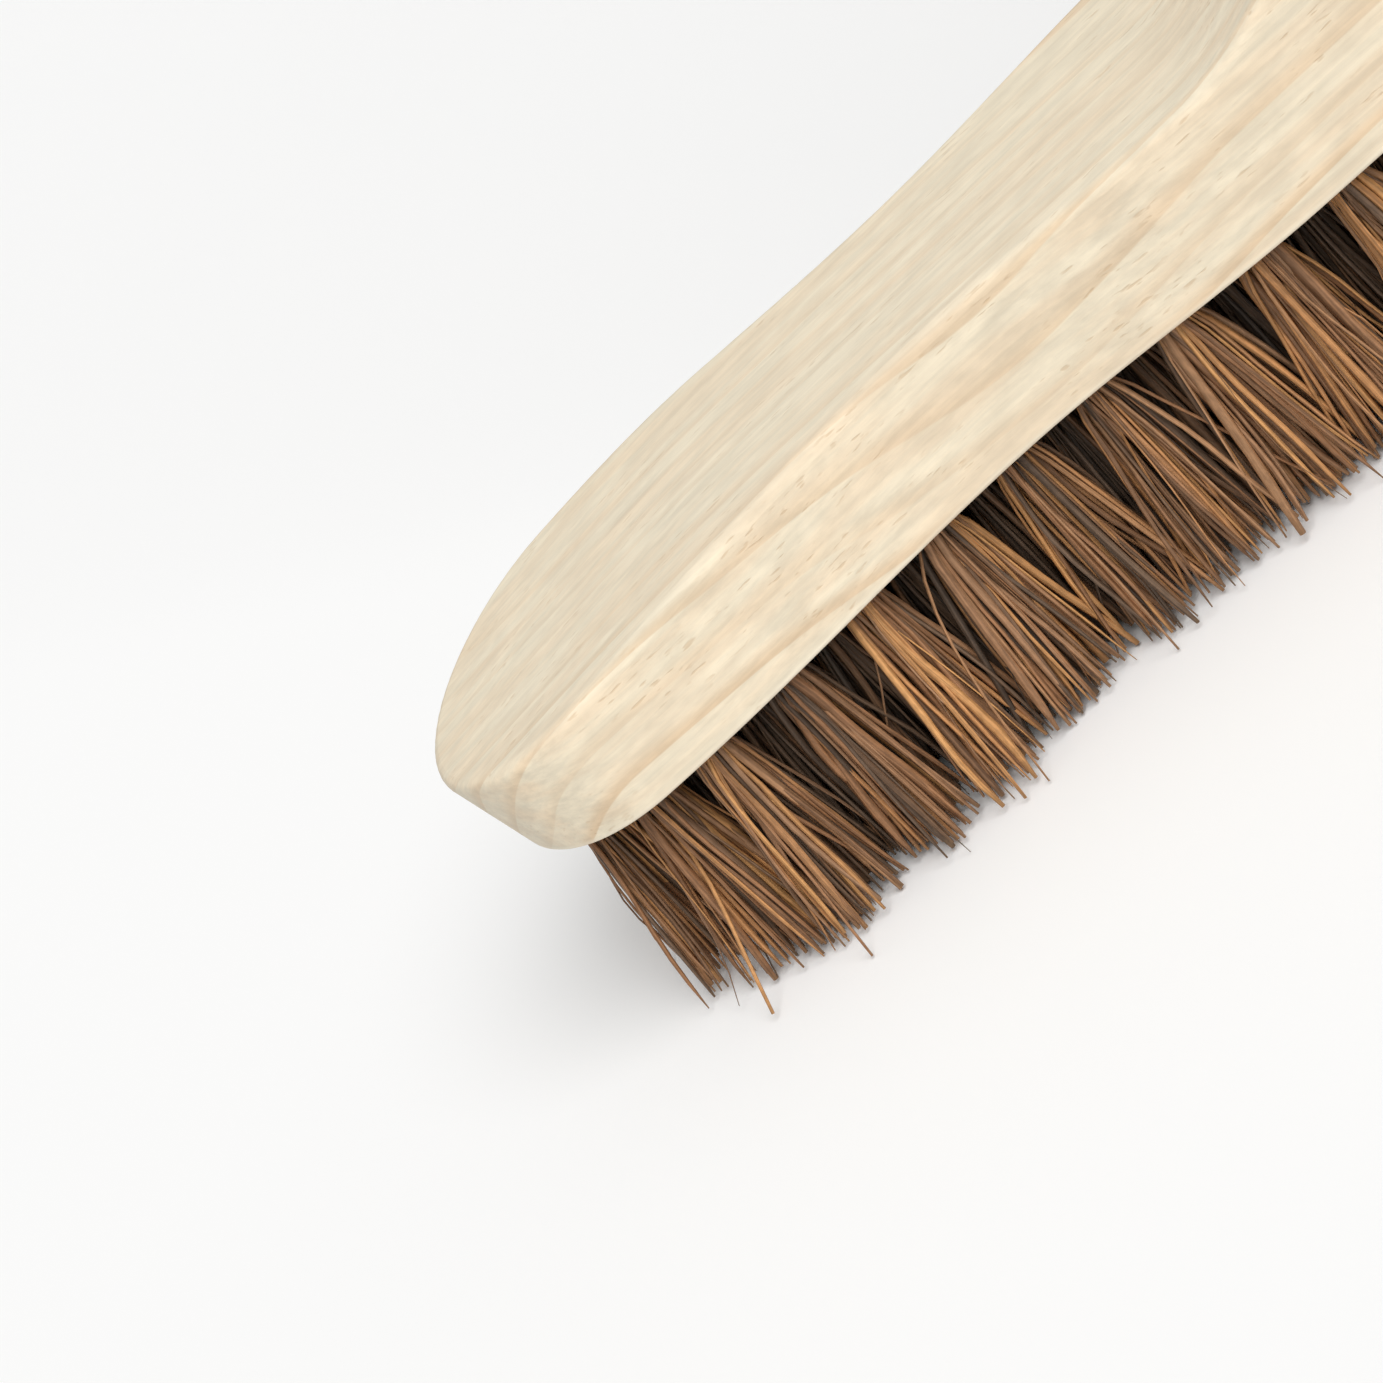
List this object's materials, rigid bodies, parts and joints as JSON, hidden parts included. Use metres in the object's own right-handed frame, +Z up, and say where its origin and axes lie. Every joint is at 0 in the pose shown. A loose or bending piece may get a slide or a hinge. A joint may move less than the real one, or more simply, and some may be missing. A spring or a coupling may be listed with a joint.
{
  "type": "push broom",
  "caption": "Push broom with a waisted wooden head, rows of stiff fibre tufts, and a round wooden handle screwed into a raised hub.",
  "frame": {"origin": "centre of the patch where the trimmed fibre tips meet the floor, under the middle of the head", "axes": "+Z up, +X along the head, and the handle leans back towards +Y"},
  "size_m": [0.4566, 0.7957, 1.3838],
  "materials": {
    "block_wood": "sanded, unvarnished",
    "stiff_fibre": "coarse natural fibre",
    "anchor_wire": "galvanised flat wire",
    "tip_metal": "satin zinc plate",
    "handle_wood": "clear lacquer",
    "cap_plastic": "moulded"
  },
  "bodies": {
    "head": {"broom_block": "block_wood", "tuft_anchors": "anchor_wire", "tuft_row_front_outer": "stiff_fibre", "tuft_row_front_inner": "stiff_fibre", "tuft_row_centre": "stiff_fibre", "tuft_row_back_inner": "stiff_fibre", "tuft_row_back_outer": "stiff_fibre"},
    "tip": {"threaded_tip": "tip_metal"},
    "handle": {"handle_pole": "handle_wood", "hang_cap": "cap_plastic"}
  },
  "joints": [
    {"name": "handle_lift", "type": "slide", "parent": "head", "child": "tip", "axis": [0, 0.5, 0.866], "range_m": [0, 0.02032]},
    {"name": "handle_turn", "type": "hinge", "parent": "tip", "child": "handle", "pos_m": [0, 0.015, 0.10032], "axis": [0, 0.5, 0.866], "range_deg": [0, 1440]}
  ],
  "couplings": [
    {"joint": "handle_turn", "follows": "handle_lift", "rad_per_m": 1236.8}
  ]
}
